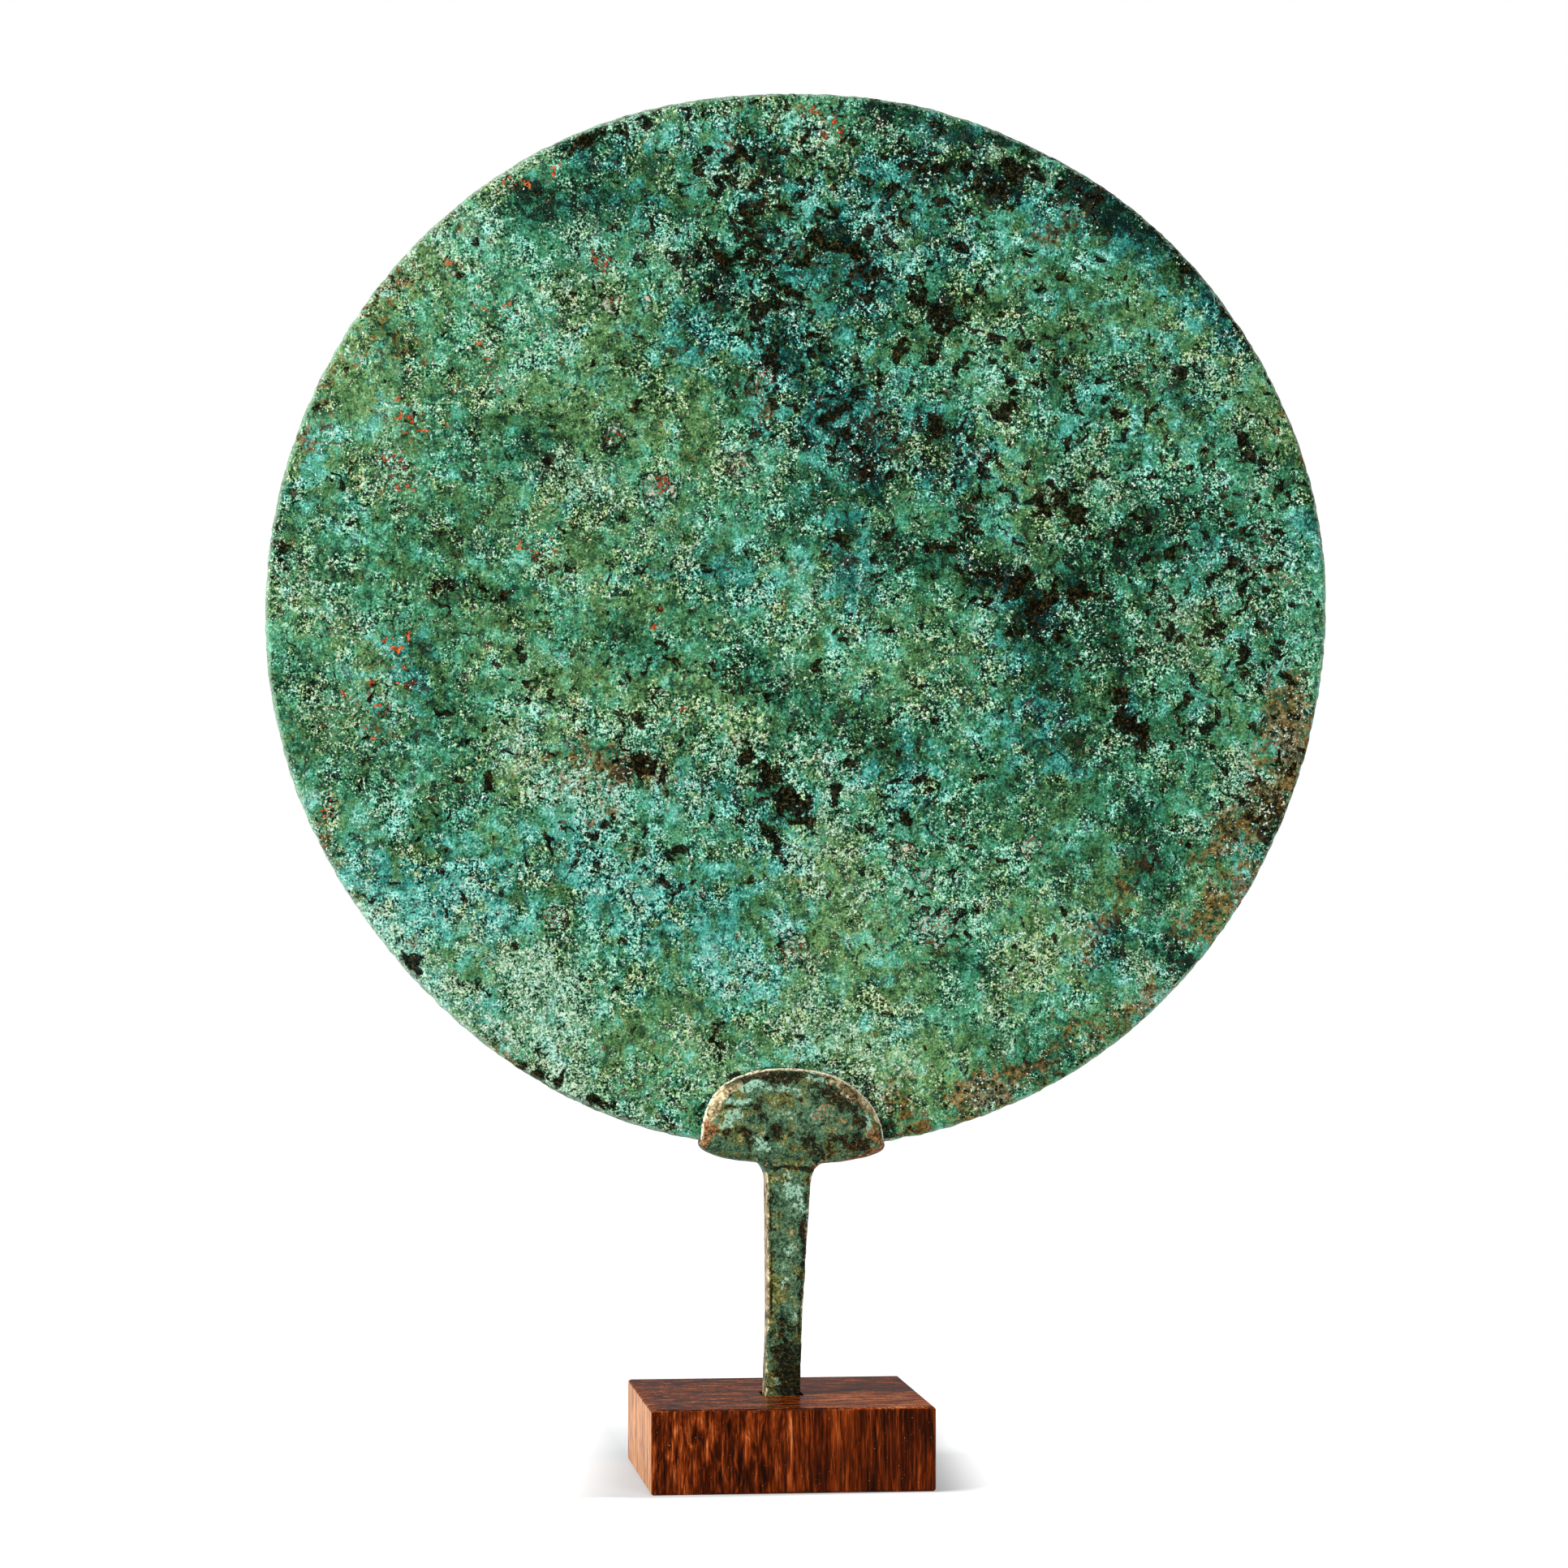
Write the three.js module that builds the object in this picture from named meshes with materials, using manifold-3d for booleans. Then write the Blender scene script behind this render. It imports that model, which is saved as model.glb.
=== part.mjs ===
// A round hand mirror of antiquity: a hammered bronze disc held in the domed clasp of a tanged handle, the tang
// set in a small rosewood block. Millimetres, +Z up, the polished side of the mirror faces -Y.
// The origin is the centre of the block's underside.
import * as THREE from "three";
import { mergeVertices } from "three/addons/utils/BufferGeometryUtils.js";
import Module from "manifold-3d";

const wasm = await Module();
wasm.setup();

// Clearance between pieces that touch.
const gap = 0.3;

// The block.
const blockWidth = 52.6;
const blockDepth = 51;
const blockHeight = 15.6;
const blockArris = 0.4;

// The mirror stands a little off the block's centre and leans to the right.
const mirrorRight = 0.4;
const mirrorForward = 1.5;
const mirrorLean = THREE.MathUtils.degToRad(1.5);

// The disc. Its centre is measured up the tang's axis from the block's top.
const discRadius = 100.5;
const discThickness = 3;
const discCentre = 145.7;
const rimRound = 1.3;
const rimSteps = 4;
const discSegments = 192;
// Flats hammered into the rim, and one swelling with a negative depth. Angles run anticlockwise from +X.
const rimFlats = [
  { at: 13, depth: -0.85, spread: 19 },
  { at: 65, depth: 0.7, spread: 11 },
  { at: 92, depth: 1.8, spread: 20 },
  { at: 222, depth: 1.2, spread: 21 },
  { at: 272, depth: 0.7, spread: 19 },
  { at: 341, depth: 0.9, spread: 42 },
];

// The handle's clasp: a D-shaped dome on both sides of the disc, fuller on its left shoulder.
const claspHalfWidth = 17.7;
const claspRight = 0.6;
const claspTips = 46.9;
const claspRise = 14.7;
const claspDrop = 3.8;
const claspHalfThickness = 4.7;
const claspShoulder = 3.2;
const claspCrown = 0.5;
const claspCentre = 51.5;
const claspPower = { leftTop: 2.6, rightTop: 2.05, leftBottom: 2.2, rightBottom: 1.9 };
const claspSegments = 80;
const claspInsets = [0.03, 0.09, 0.2, 0.4, 0.75, 1.2, 1.8, 2.5, 3.2, 5, 8];
const claspInnerReach = 0.9;

// The tang: a bar with rounded arrises that widens upwards and flares into the clasp.
const tangFoot = -10.2;
const tangWaist = 16;
const tangTop = 39.5;
const tangWidthBelow = 6.7;
const tangWidthAbove = 8.3;
const tangThicknessBelow = 6.4;
const tangThicknessAbove = 7;
const tangCorner = 1;
const cornerSteps = 3;
const flareRadius = 2.6;
const flareHeight = 4.2;
const flareSteps = 5;

// The mortise in the block's top.
const mortiseDepth = 10.5;
const mortiseClearance = 0.55;

// A closed surface through rings of points that all have the same count, the end rings closed by a fan each.
function skin(rings) {
  const count = rings[0].length;
  const points = rings.flat();
  const index = [];
  for (let ring = 0; ring < rings.length - 1; ring++) {
    for (let k = 0; k < count; k++) {
      const a = ring * count + k;
      const b = ring * count + ((k + 1) % count);
      index.push(a, b, b + count, a, b + count, a + count);
    }
  }
  const closeEnd = (ring, turned) => {
    const centre = new THREE.Vector3();
    rings[ring].forEach((point) => centre.add(point));
    const middle = points.push(centre.divideScalar(count)) - 1;
    for (let k = 0; k < count; k++) {
      const a = ring * count + k;
      const b = ring * count + ((k + 1) % count);
      index.push(middle, ...(turned ? [a, b] : [b, a]));
    }
  };
  closeEnd(0, false);
  closeEnd(rings.length - 1, true);
  return new THREE.BufferGeometry().setFromPoints(points).setIndex(index);
}

// A closed geometry as a manifold-3d solid, and back.
function solidOf(geometry) {
  const bare = geometry.clone();
  bare.deleteAttribute("normal");
  bare.deleteAttribute("uv");
  const merged = mergeVertices(bare);
  return new wasm.Manifold(
    new wasm.Mesh({
      numProp: 3,
      vertProperties: merged.getAttribute("position").array,
      triVerts: new Uint32Array(merged.index.array),
    }),
  );
}

function geometryOf(solid) {
  const mesh = solid.getMesh();
  const geometry = new THREE.BufferGeometry()
    .setAttribute("position", new THREE.BufferAttribute(mesh.vertProperties, 3))
    .setIndex(new THREE.BufferAttribute(mesh.triVerts, 1));
  geometry.computeVertexNormals();
  return geometry;
}

// The disc's radius at an angle in degrees.
function rimRadius(angle) {
  return rimFlats.reduce((radius, flat) => {
    const away = THREE.MathUtils.euclideanModulo(angle - flat.at + 180, 360) - 180;
    return radius - flat.depth * Math.exp(-((away / flat.spread) ** 2));
  }, discRadius);
}

// The disc, swollen by grow on every side, so that the clasp's slot can be cut with the same shape.
function discGeometry(grow = 0) {
  const half = discThickness / 2 + grow;
  const rings = [];
  for (let step = 0; step <= 2 * rimSteps; step++) {
    const turn = (step / (2 * rimSteps)) * Math.PI - Math.PI / 2;
    const inset = rimRound * (1 - Math.cos(turn)) - grow;
    const y = -half * Math.sin(turn);
    rings.push(
      Array.from({ length: discSegments }, (_, k) => {
        const angle = (k / discSegments) * 360;
        const radius = rimRadius(angle) - inset;
        const radians = THREE.MathUtils.degToRad(angle);
        return new THREE.Vector3(
          radius * Math.cos(radians),
          y,
          discCentre + radius * Math.sin(radians),
        );
      }),
    );
  }
  return skin(rings);
}

// The clasp's outline: half-width times half-height ovals whose squareness differs from quarter to quarter.
function claspOutline() {
  return Array.from({ length: claspSegments }, (_, k) => {
    const turn = (k / claspSegments) * 2 * Math.PI;
    const across = Math.cos(turn);
    const up = Math.sin(turn);
    const topPower = across < 0 ? claspPower.leftTop : claspPower.rightTop;
    const bottomPower = across < 0 ? claspPower.leftBottom : claspPower.rightBottom;
    const power = up > 0 ? topPower : bottomPower;
    const height = up > 0 ? claspRise : claspDrop;
    return new THREE.Vector2(
      claspRight + claspHalfWidth * Math.sign(across) * Math.abs(across) ** (2 / power),
      claspTips + height * Math.sign(up) * Math.abs(up) ** (2 / power),
    );
  });
}

// How far the dome stands off the disc's middle plane, at a distance in from the outline.
function claspHeight(inset) {
  const shoulder = Math.min(inset / claspShoulder, 1);
  const crown = Math.min(inset / claspRise, 1);
  return (claspHalfThickness - claspCrown) * Math.sqrt(1 - (1 - shoulder) ** 2) + claspCrown * crown;
}

function claspGeometry() {
  const outline = claspOutline();
  const centre = new THREE.Vector2(claspRight, claspCentre);
  const ring = (inset, side) =>
    outline.map((edge) => {
      const reach = edge.distanceTo(centre);
      const point = edge.clone().lerp(centre, Math.min(inset / reach, claspInnerReach));
      const clear = Math.min(...outline.map((other) => other.distanceTo(point)));
      return new THREE.Vector3(point.x, side * claspHeight(Math.min(clear, inset)), point.y);
    });
  const back = claspInsets.map((inset) => ring(inset, 1)).reverse();
  const front = claspInsets.map((inset) => ring(inset, -1));
  return skin([...back, ring(0, 0), ...front]);
}

// One cross-section of the tang: a rectangle with rounded corners.
function tangSection(z, width, thickness) {
  const section = [];
  const corners = [
    [1, 1],
    [-1, 1],
    [-1, -1],
    [1, -1],
  ];
  corners.forEach(([right, back], quarter) => {
    for (let step = 0; step <= cornerSteps; step++) {
      const turn = ((quarter + step / cornerSteps) * Math.PI) / 2;
      section.push(
        new THREE.Vector3(
          right * (width / 2 - tangCorner) + tangCorner * Math.cos(turn),
          back * (thickness / 2 - tangCorner) + tangCorner * Math.sin(turn),
          z,
        ),
      );
    }
  });
  return section;
}

function tangGeometry() {
  const sections = [
    tangSection(tangFoot, tangWidthBelow, tangThicknessBelow),
    tangSection(tangWaist, tangWidthBelow, tangThicknessBelow),
  ];
  for (let step = 0; step <= flareSteps; step++) {
    const turn = (step / flareSteps) * (Math.PI / 2);
    const flare = flareRadius * (1 - Math.cos(turn));
    sections.push(
      tangSection(
        tangTop + flareHeight * Math.sin(turn),
        tangWidthAbove + 2 * flare,
        tangThicknessAbove,
      ),
    );
  }
  return skin(sections);
}

// The handle in one casting: clasp and tang together, slotted for the disc.
function handleGeometry() {
  return geometryOf(
    solidOf(claspGeometry()).add(solidOf(tangGeometry())).subtract(solidOf(discGeometry(gap))),
  );
}

// The block with softened arrises and a mortise for the tang.
function blockGeometry() {
  const right = blockWidth / 2 - blockArris;
  const back = blockDepth / 2 - blockArris;
  const plan = new THREE.Shape()
    .moveTo(-right, -back)
    .lineTo(right, -back)
    .lineTo(right, back)
    .lineTo(-right, back)
    .closePath();
  const block = new THREE.ExtrudeGeometry(plan, {
    depth: blockHeight - 2 * blockArris,
    bevelSize: blockArris,
    bevelThickness: blockArris,
    bevelSegments: 1,
  }).translate(0, 0, blockArris);
  const mortise = new THREE.BoxGeometry(
    tangWidthBelow + 2 * mortiseClearance,
    tangThicknessBelow + 2 * mortiseClearance,
    2 * mortiseDepth,
  ).translate(mirrorRight, -mirrorForward, blockHeight);
  return geometryOf(solidOf(block).subtract(solidOf(mortise)));
}

const patina = new THREE.MeshStandardMaterial({ color: 0x4f8a70, roughness: 0.75, metalness: 0.2 });
const claspPatina = new THREE.MeshStandardMaterial({ color: 0x5d6f58, roughness: 0.6, metalness: 0.25 });
const rosewood = new THREE.MeshStandardMaterial({ color: 0x5c2b18, roughness: 0.45, metalness: 0 });

function piece(name, geometry, material) {
  const mesh = new THREE.Mesh(geometry, material);
  mesh.name = name;
  return mesh;
}

const mirror = new THREE.Group();
mirror.position.set(mirrorRight, -mirrorForward, blockHeight);
mirror.rotation.y = mirrorLean;
mirror.add(piece("mirror_disc", discGeometry(), patina));
mirror.add(piece("handle", handleGeometry(), claspPatina));

const mountedMirror = new THREE.Group();
mountedMirror.add(mirror);
mountedMirror.add(piece("stand_block", blockGeometry(), rosewood));

export default mountedMirror;
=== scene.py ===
"""The looks of an ancient bronze mirror that stands in a rosewood block.

The patina is painted from seeded noise and brush strokes, twice: as relief in the meshes, and as colour in
the materials, which read the strokes from attributes on the meshes. Places are in metres. Patina sizes and
strokes are in millimetres.
"""

import math

import bpy
import numpy as np
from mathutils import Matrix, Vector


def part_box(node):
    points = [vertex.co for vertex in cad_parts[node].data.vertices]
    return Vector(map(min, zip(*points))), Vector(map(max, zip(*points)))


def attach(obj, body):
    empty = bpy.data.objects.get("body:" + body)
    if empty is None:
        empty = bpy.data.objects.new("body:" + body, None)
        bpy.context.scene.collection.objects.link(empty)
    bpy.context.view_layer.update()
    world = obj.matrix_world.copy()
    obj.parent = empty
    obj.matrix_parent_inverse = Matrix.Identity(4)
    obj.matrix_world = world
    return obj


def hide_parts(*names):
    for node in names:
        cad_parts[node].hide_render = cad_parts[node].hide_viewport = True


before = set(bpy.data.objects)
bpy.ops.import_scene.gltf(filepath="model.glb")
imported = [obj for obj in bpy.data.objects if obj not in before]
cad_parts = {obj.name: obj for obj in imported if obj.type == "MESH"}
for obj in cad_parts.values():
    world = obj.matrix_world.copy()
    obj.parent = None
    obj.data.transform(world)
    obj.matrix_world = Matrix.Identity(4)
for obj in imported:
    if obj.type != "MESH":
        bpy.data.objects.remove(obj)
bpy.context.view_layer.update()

scene = bpy.context.scene
MM = 0.001
# So many radii away, nothing of a crater shows.
GONE = 9.0


def add_object(name, data):
    made = bpy.data.objects.new(name, data)
    scene.collection.objects.link(made)
    return made


# Camera and light

LENS_MM = 119.25
SENSOR_MM = 36
CAMERA_PLACE = (-0.10843, -0.97141, 0.12961)
CAMERA_TILT = math.radians(90.03)
CAMERA_TURN = math.radians(-6.43)

LIGHT_TARGET = (0, 0, 0.13)
SKY_SEEN = 1.0
SKY_LIGHT = 0.22


def place_camera():
    data = bpy.data.cameras.new("camera")
    data.lens = LENS_MM
    data.sensor_width = SENSOR_MM
    camera = add_object("camera", data)
    camera.location = CAMERA_PLACE
    camera.rotation_euler = (CAMERA_TILT, 0, CAMERA_TURN)
    scene.camera = camera


def softbox(name, place, size, power):
    """A round area light that faces the mirror's middle."""
    data = bpy.data.lights.new(name, "AREA")
    data.shape = "DISK"
    data.size = size
    data.energy = power
    lamp = add_object(name, data)
    lamp.location = place
    across, away, up = (goal - start for goal, start in zip(LIGHT_TARGET, place))
    lamp.rotation_euler = (math.atan2(math.hypot(across, away), -up), 0, math.atan2(-across, away))


def light_studio():
    softbox("key_light", place=(-1.2, -0.42, 0.9), size=0.8, power=30)
    softbox("front_light", place=(0.5, -1.5, 1.2), size=1.0, power=16)
    world = bpy.data.worlds.new("white_room")
    world.use_nodes = True
    nodes, links = world.node_tree.nodes, world.node_tree.links
    background = nodes["Background"]
    background.inputs["Color"].default_value = (1, 1, 1, 1)
    seen = nodes.new("ShaderNodeMapRange")
    seen.inputs["To Min"].default_value = SKY_LIGHT
    seen.inputs["To Max"].default_value = SKY_SEEN
    links.new(nodes.new("ShaderNodeLightPath").outputs["Is Camera Ray"], seen.inputs["Value"])
    links.new(seen.outputs[0], background.inputs["Strength"])
    scene.world = world
    scene.view_settings.view_transform = "Standard"


# Noise and strokes, at points in millimetres


class Noise:
    """Seeded gradient noise, spread about 0 by about 1."""

    SPREAD = 0.26
    LAYER_SHIFT = 17.3

    def __init__(self, seed):
        random = np.random.default_rng(seed)
        self.order = random.permutation(256)
        slopes = random.normal(size=(256, 3))
        self.slopes = slopes / np.linalg.norm(slopes, axis=1, keepdims=True)

    def plain(self, points):
        cell = np.floor(points).astype(int)
        part = points - cell
        ease = part**3 * (part * (part * 6 - 15) + 10)
        total = np.zeros(len(points))
        for corner in np.ndindex(2, 2, 2):
            x, y, z = ((cell + corner) & 255).T
            key = self.order[(self.order[(self.order[x] + y) & 255] + z) & 255]
            reach = ((part - corner) * self.slopes[key]).sum(1)
            total += reach * np.prod(np.where(corner, ease, 1 - ease), axis=1)
        return total / self.SPREAD

    def layers(self, points, size, count=3, rough=0.55):
        """Layers whose features are about size, then half that, and so on, each rough times as strong."""
        total = np.zeros(len(points))
        for layer in range(count):
            total += rough**layer * self.plain(points * (2**layer / size) + self.LAYER_SHIFT * layer)
        return total / math.sqrt(sum(rough ** (2 * layer) for layer in range(count)))


def smooth(value, low, high):
    """0 below low, 1 above high, and an S between."""
    part = np.clip((value - low) / (high - low), 0, 1)
    return part * part * (3 - 2 * part)


def bell(value, middle, width):
    """1 where value is at middle, falling away over about width."""
    return np.exp(-(((value - middle) / width) ** 2))


def brushed(points, strokes):
    """The strongest of some soft strokes, each given as two ends, a reach and tenths of strength."""
    field = np.zeros(len(points))
    for *ends, reach, tenths in strokes:
        start, end = np.reshape(ends, (2, 2))
        way = end - start
        along = np.clip((points - start) @ way / max(way @ way, 1e-9), 0, 1)
        away = np.linalg.norm(points - start - along[:, None] * way, axis=1)
        field = np.maximum(field, tenths / 10 * bell(away, 0, reach))
    return field


# Meshes


def new_piece(name, places, faces):
    """A smooth piece from places in metres and arrays of faces, each array with its own number of sides."""
    mesh = bpy.data.meshes.new(name)
    sides = np.concatenate([np.full(len(block), block.shape[1]) for block in faces])
    corners = np.concatenate([block.ravel() for block in faces])
    mesh.vertices.add(len(places))
    mesh.vertices.foreach_set("co", places.astype(np.float32).ravel())
    mesh.loops.add(len(corners))
    mesh.loops.foreach_set("vertex_index", corners.astype(np.int32))
    mesh.polygons.add(len(sides))
    mesh.polygons.foreach_set("loop_start", (np.cumsum(sides) - sides).astype(np.int32))
    mesh.update(calc_edges=True)
    mesh.shade_smooth()
    return add_object(name, mesh)


def vectors(rows, name):
    """A property with three parts, read from each of a mesh's rows."""
    flat = np.empty(len(rows) * 3, np.float32)
    rows.foreach_get(name, flat)
    return flat.reshape(-1, 3).astype(float)


def carry(piece, name, *fields):
    """Stores three fields as one vector attribute."""
    stored = piece.data.attributes.new(name, "FLOAT_VECTOR", "POINT")
    stored.data.foreach_set("vector", np.stack(fields, 1).astype(np.float32).ravel())


def remade(node, name, modifiers):
    """A piece from a CAD node's mesh, put through modifiers given as kind and settings."""
    work = add_object(name + "_work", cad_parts[node].data.copy())
    for kind, settings in modifiers:
        modifier = work.modifiers.new(kind, kind)
        for key, value in settings.items():
            setattr(modifier, key, value)
    graph = bpy.context.evaluated_depsgraph_get()
    mesh = bpy.data.meshes.new_from_object(work.evaluated_get(graph))
    bpy.data.objects.remove(work)
    mesh.materials.clear()
    mesh.name = name
    return add_object(name, mesh)


def dress(piece, material, node):
    """Gives a piece its material and lets it stand for its CAD node."""
    piece.data.materials.append(material)
    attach(piece, "root")
    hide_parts(node)


# Materials


def paint(red, green, blue):
    """A screen colour, 0 to 255, as the linear colour that shaders take."""

    def linear(value):
        value /= 255
        return value / 12.92 if value <= 0.04045 else ((value + 0.055) / 1.055) ** 2.4

    return (linear(red), linear(green), linear(blue), 1)


class Look:
    """A material written as expressions. A value is a number, a colour or another node's output.

    Its colour starts as a ground and gets layers laid over it.
    """

    NOISE_SPREAD = 0.137

    def __init__(self, name):
        self.material = bpy.data.materials.new(name)
        self.material.use_nodes = True
        self.tree = self.material.node_tree
        self.shader = self.tree.nodes["Principled BSDF"]
        self.colour = paint(0, 0, 0)
        place = self.node("TexCoord").outputs["Object"]
        scale = {0: place, "Scale": 1 / MM}
        self.place = self.node("VectorMath", scale, operation="SCALE").outputs[0]

    def node(self, kind, inputs=None, **settings):
        made = self.tree.nodes.new("ShaderNode" + kind)
        for name, value in settings.items():
            setattr(made, name, value)
        self.fill(made, inputs or {})
        return made

    def fill(self, node, inputs):
        for key, value in inputs.items():
            if isinstance(value, bpy.types.NodeSocket):
                self.tree.links.new(value, node.inputs[key])
            else:
                node.inputs[key].default_value = value

    def maths(self, operation, *values):
        return self.node("Math", dict(enumerate(values)), operation=operation).outputs[0]

    def blend(self, start, *parts):
        """Start plus each part's value times its weight."""
        for value, weight in parts:
            start = self.maths("MULTIPLY_ADD", value, weight, start)
        return start

    def chain(self, operation, result, *values):
        for value in values:
            result = self.maths(operation, result, value)
        return result

    def times(self, *values):
        return self.chain("MULTIPLY", *values)

    def step(self, value, low, high, start=0.0, end=1.0):
        """Runs smoothly from start, where value is at low, to end, at high."""
        inputs = {0: value, 1: low, 2: high, 3: start, 4: end}
        return self.node("MapRange", inputs, interpolation_type="SMOOTHSTEP").outputs[0]

    def band(self, value, middle, half):
        """1 where value is at middle, down to 0 at half away."""
        return self.step(self.maths("ABSOLUTE", self.maths("SUBTRACT", value, middle)), half, 0)

    def placed(self, size, shift, stretch=(1, 1, 1), tilt=0.0):
        """Object places in units of size millimetres, tilted by degrees in the front plane and stretched."""
        place = self.place
        if tilt:
            turn = {"Vector": place, "Angle": math.radians(tilt)}
            place = self.node("VectorRotate", turn, rotation_type="Y_AXIS").outputs[0]
        scale = tuple(1 / (size * part) for part in stretch)
        offset = (shift, shift * 0.7, shift * 1.3)
        inputs = {0: place, 1: scale, 2: offset}
        return self.node("VectorMath", inputs, operation="MULTIPLY_ADD").outputs[0]

    def noise(self, size, detail=3, rough=0.6, shift=0.0, stretch=(1, 1, 1), tilt=0.0, bend=0.0):
        """Noise about 0, spread by about 1, whose features are about size millimetres."""
        place = self.placed(size, shift, stretch, tilt)
        inputs = {"Vector": place, "Scale": 1, "Detail": detail, "Roughness": rough, "Distortion": bend}
        plain = self.node("TexNoise", inputs).outputs[0]
        layers = [rough**layer for layer in range(detail + 1)]
        spread = self.NOISE_SPREAD * math.hypot(*layers) / sum(layers)
        return self.maths("MULTIPLY_ADD", plain, 1 / spread, -0.5 / spread)

    def craters(self, size, shift, radius, share):
        """Distance from scattered craters in units of each one's radius. Only a share of them is there."""
        made = self.node("TexVoronoi", {"Vector": self.placed(size, shift), "Scale": 1})
        kinds = self.node("SeparateColor", {0: made.outputs["Color"]}).outputs
        away = self.maths("MULTIPLY", made.outputs["Distance"], size)
        grown = self.maths("MULTIPLY_ADD", kinds[0], radius * 1.2, radius * 0.5)
        gone = self.step(kinds[1], share, share + 0.01, 0, GONE)
        return self.maths("ADD", self.maths("DIVIDE", away, grown), gone)

    def carried(self, name):
        """The three fields that carry() stored."""
        vector = self.node("Attribute", attribute_name=name).outputs["Vector"]
        return self.node("SeparateXYZ", {0: vector}).outputs

    def mix(self, share, first, second):
        inputs = {0: share, 6: first, 7: second}
        return self.node("Mix", inputs, data_type="RGBA").outputs[2]

    def ramp(self, value, *stops):
        """A colour by value, from stops given as place, red, green and blue."""
        made = self.node("ValToRGB", {0: value})
        band = made.color_ramp
        while len(band.elements) < len(stops):
            band.elements.new(0.5)
        for element, (place, red, green, blue) in zip(band.elements, stops):
            element.position = place
            element.color = paint(red, green, blue)
        return made.outputs[0]

    def lay(self, cover, *share):
        """Lays cover over the colour so far, as thickly as the product of share."""
        self.colour = self.mix(self.times(*share), self.colour, cover)

    def finish(self, roughness, gloss, height, depth):
        """Sets the shader's colour, roughness and reflectance, and bumps of up to depth millimetres."""
        bump = self.node("Bump", {"Height": height, "Distance": depth * MM, "Strength": 1}).outputs[0]
        self.fill(self.shader, {"Base Color": self.colour, "Roughness": roughness, "Normal": bump})
        self.fill(self.shader, {"Specular IOR Level": gloss})
        return self.material


# The floor. SHADE numbers shape the painted shadow on the ground by the block, FAR ones the glow behind it.

FLOOR_REACH = 6
SHADE_AHEAD = -4.0
SHADE_SIDES = (-2.5, 1.2)
SHADE_SPREAD = (0.14, -0.07)
SHADE_EDGE = (22, 15)
SHADE_GLOW = (0.3, 0.27)
OPEN_GLOW = 0.95
SHADE_LENGTH = 100
FAR_START, FAR_END = 90, 220
FAR_CLEAR = 40
PAINT_EDGE = 15
# Near the block the floor is paler and a touch blue: part of the painted shadow, and set against the warm
# light bounced off the block.
PAINT_NEAR = (0.35, 0.36, 0.37, 1)
PAINT_FAR = (0.3, 0.3, 0.3, 1)


def lay_floor():
    """A white floor that glows, but less next to the block, so that it paints the block's soft shadow.

    Pairs of values are for the left and the right of the block. Distances are in millimetres.
    """
    mesh = bpy.data.meshes.new("floor")
    corners = [(-1, -1), (1, -1), (1, 1), (-1, 1)]
    mesh.from_pydata([(FLOOR_REACH * x, FLOOR_REACH * y, 0) for x, y in corners], [], [(0, 1, 2, 3)])
    floor = add_object("floor", mesh)
    look = Look("white_floor")
    across, away, _ = look.node("SeparateXYZ", {0: look.place}).outputs
    half = [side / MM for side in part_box("stand_block")[1][:2]]
    beside = look.maths("MAXIMUM", look.maths("SUBTRACT", look.maths("ABSOLUTE", across), half[0]), 0)
    past_front = look.maths("ADD", away, half[1])
    behind = look.maths("MINIMUM", look.maths("MAXIMUM", past_front, 0), SHADE_LENGTH)
    ahead = look.maths("MINIMUM", past_front, 0)
    far_off = look.step(past_front, FAR_START, FAR_END)

    def by_side(left, right):
        return look.step(across, -half[0], half[0], left, right)

    clear = look.blend(by_side(*SHADE_SIDES), (beside, 1), (ahead, SHADE_AHEAD), (far_off, FAR_CLEAR))
    clear = look.blend(clear, (look.times(behind, by_side(*SHADE_SPREAD)), 1))
    # Painted shadow: the glow is dimmer next to the block, which draws the block's soft shadow on the floor.
    glow_with_painted_shadow = look.step(clear, 0, by_side(*SHADE_EDGE), by_side(*SHADE_GLOW), OPEN_GLOW)
    colour = look.mix(look.step(clear, 0, PAINT_EDGE), PAINT_NEAR, PAINT_FAR)
    look.fill(look.shader, {"Base Color": colour, "Roughness": 0.9, "Specular IOR Level": 0})
    look.fill(look.shader, {"Emission Strength": glow_with_painted_shadow, "Emission Color": (1, 1, 1, 1)})
    mesh.materials.append(look.material)


# The disc

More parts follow.
